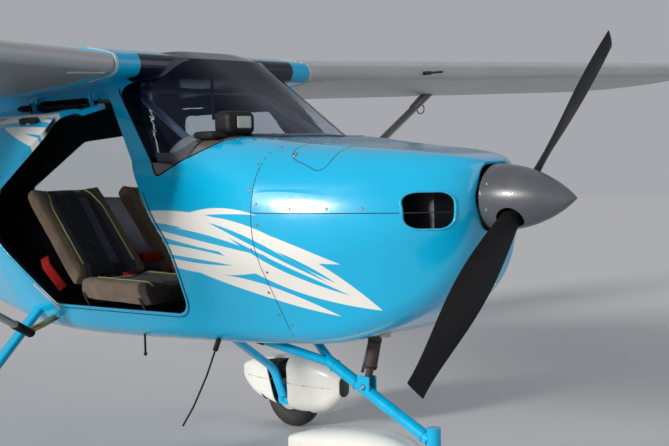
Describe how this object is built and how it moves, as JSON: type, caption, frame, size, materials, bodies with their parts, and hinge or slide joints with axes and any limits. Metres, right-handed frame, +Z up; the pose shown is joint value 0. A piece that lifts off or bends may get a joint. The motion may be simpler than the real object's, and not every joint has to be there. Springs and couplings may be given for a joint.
{
  "type": "microlight aircraft",
  "caption": "Two-seat strut-braced high-wing microlight aircraft on a spatted tricycle gear, with a tractor propeller and top-hinged doors.",
  "frame": {"origin": "on the ground under the middle of the overall box", "axes": "+X to the nose, +Y to port, +Z up"},
  "size_m": [6.2, 9.456, 2.3399],
  "materials": {
    "blue_composite": "gloss paint",
    "wing_skin": "painted skin",
    "clear_screen": "clear",
    "strut_metal": "satin",
    "engine_metal": "cast",
    "exhaust_steel": "heat-stained",
    "blue_tube": "gloss paint",
    "shock_sleeve": "matt",
    "white_spat": "gloss gel coat",
    "tyre_rubber": "matt",
    "seat_cover": "woven cover",
    "seat_panel": "matt",
    "panel_grey": "matt",
    "grey_tube": "painted",
    "black_plastic": "matt",
    "propeller_black": "satin",
    "spinner_grey": "gloss paint"
  },
  "bodies": {
    "airframe": {"cabin_shell": "blue_composite", "centre_section": "blue_composite", "tail_cone": "blue_composite", "cowl_upper": "blue_composite", "cowl_lower": "blue_composite", "windscreen": "clear_screen", "rear_window_left": "clear_screen", "rear_window_right": "clear_screen", "wing_left": "wing_skin", "wing_right": "wing_skin", "strut_left": "strut_metal", "strut_right": "strut_metal", "fin": "wing_skin", "tailplane_left": "wing_skin", "tailplane_right": "wing_skin", "engine": "engine_metal", "exhaust": "exhaust_steel", "nose_arm": "blue_tube", "nose_shock": "shock_sleeve", "main_leg_left": "blue_tube", "main_leg_right": "blue_tube", "main_spat_left": "white_spat", "main_spat_right": "white_spat", "seat_left": "seat_cover", "seat_right": "seat_cover", "seat_base": "seat_panel", "instrument_panel": "panel_grey", "cabin_frame": "grey_tube", "control_stick": "black_plastic", "pitot_tube": "black_plastic", "whip_aerial": "black_plastic", "stub_aerial": "black_plastic"},
    "propeller": {"propeller": "propeller_black", "spinner": "spinner_grey"},
    "nose_steering": {"nose_fork": "blue_tube", "nose_spat": "white_spat"},
    "nose_wheel": {"nose_wheel": "tyre_rubber"},
    "main_wheel_left": {"main_wheel_left": "tyre_rubber"},
    "main_wheel_right": {"main_wheel_right": "tyre_rubber"},
    "door_left": {"door_left": "blue_composite", "door_glass_left": "clear_screen"},
    "door_right": {"door_right": "blue_composite", "door_glass_right": "clear_screen"},
    "aileron_left": {"aileron_left": "wing_skin"},
    "aileron_right": {"aileron_right": "wing_skin"},
    "flap_left": {"flap_left": "wing_skin"},
    "flap_right": {"flap_right": "wing_skin"},
    "elevator": {"elevator": "wing_skin"},
    "rudder": {"rudder": "wing_skin"}
  },
  "joints": [
    {"name": "propeller_spin", "type": "hinge", "parent": "airframe", "child": "propeller", "pos_m": [2.872, 0, 1.363], "axis": [1, 0, 0], "continuous": true},
    {"name": "nose_wheel_steer", "type": "hinge", "parent": "airframe", "child": "nose_steering", "pos_m": [2.452, 0, 0.42], "axis": [0, 0, 1], "range_deg": [-20, 20]},
    {"name": "nose_wheel_spin", "type": "hinge", "parent": "nose_steering", "child": "nose_wheel", "pos_m": [2.165, 0, 0.185], "axis": [0, 1, 0], "continuous": true},
    {"name": "main_wheel_left_spin", "type": "hinge", "parent": "airframe", "child": "main_wheel_left", "pos_m": [0.56, 1.1, 0.19], "axis": [0, 1, 0], "continuous": true},
    {"name": "main_wheel_right_spin", "type": "hinge", "parent": "airframe", "child": "main_wheel_right", "pos_m": [0.56, -1.1, 0.19], "axis": [0, 1, 0], "continuous": true},
    {"name": "door_left_swing", "type": "hinge", "parent": "airframe", "child": "door_left", "pos_m": [0.785, 0.512, 1.79], "axis": [1, 0, 0], "range_deg": [0, 70]},
    {"name": "door_right_swing", "type": "hinge", "parent": "airframe", "child": "door_right", "pos_m": [0.785, -0.512, 1.79], "axis": [1, 0, 0], "range_deg": [0, 70]},
    {"name": "aileron_left_roll", "type": "hinge", "parent": "airframe", "child": "aileron_left", "pos_m": [0.27567, 0.51855, 1.87758], "axis": [0, 0.9993, 0.0384], "range_deg": [-20, 20]},
    {"name": "aileron_right_roll", "type": "hinge", "parent": "airframe", "child": "aileron_right", "pos_m": [0.27567, -0.51855, 1.87758], "axis": [0, 0.9993, -0.0384], "range_deg": [-20, 20]},
    {"name": "flap_left_lower", "type": "hinge", "parent": "airframe", "child": "flap_left", "pos_m": [0.27567, 0.51855, 1.87758], "axis": [0, -0.9993, -0.0384], "range_deg": [0, 40]},
    {"name": "flap_right_lower", "type": "hinge", "parent": "airframe", "child": "flap_right", "pos_m": [0.27567, -0.51855, 1.87758], "axis": [0, -0.9993, 0.0384], "range_deg": [0, 40]},
    {"name": "elevator_pitch", "type": "hinge", "parent": "airframe", "child": "elevator", "pos_m": [-2.53, 0, 1.225], "axis": [0, 1, 0], "range_deg": [-25, 25]},
    {"name": "rudder_yaw", "type": "hinge", "parent": "airframe", "child": "rudder", "pos_m": [-2.78, 0, 1.735], "axis": [0, 0, 1], "range_deg": [-25, 25]}
  ],
  "couplings": [
    {"joint": "aileron_right_roll", "follows": "aileron_left_roll", "ratio": -1},
    {"joint": "flap_right_lower", "follows": "flap_left_lower", "ratio": 1}
  ]
}
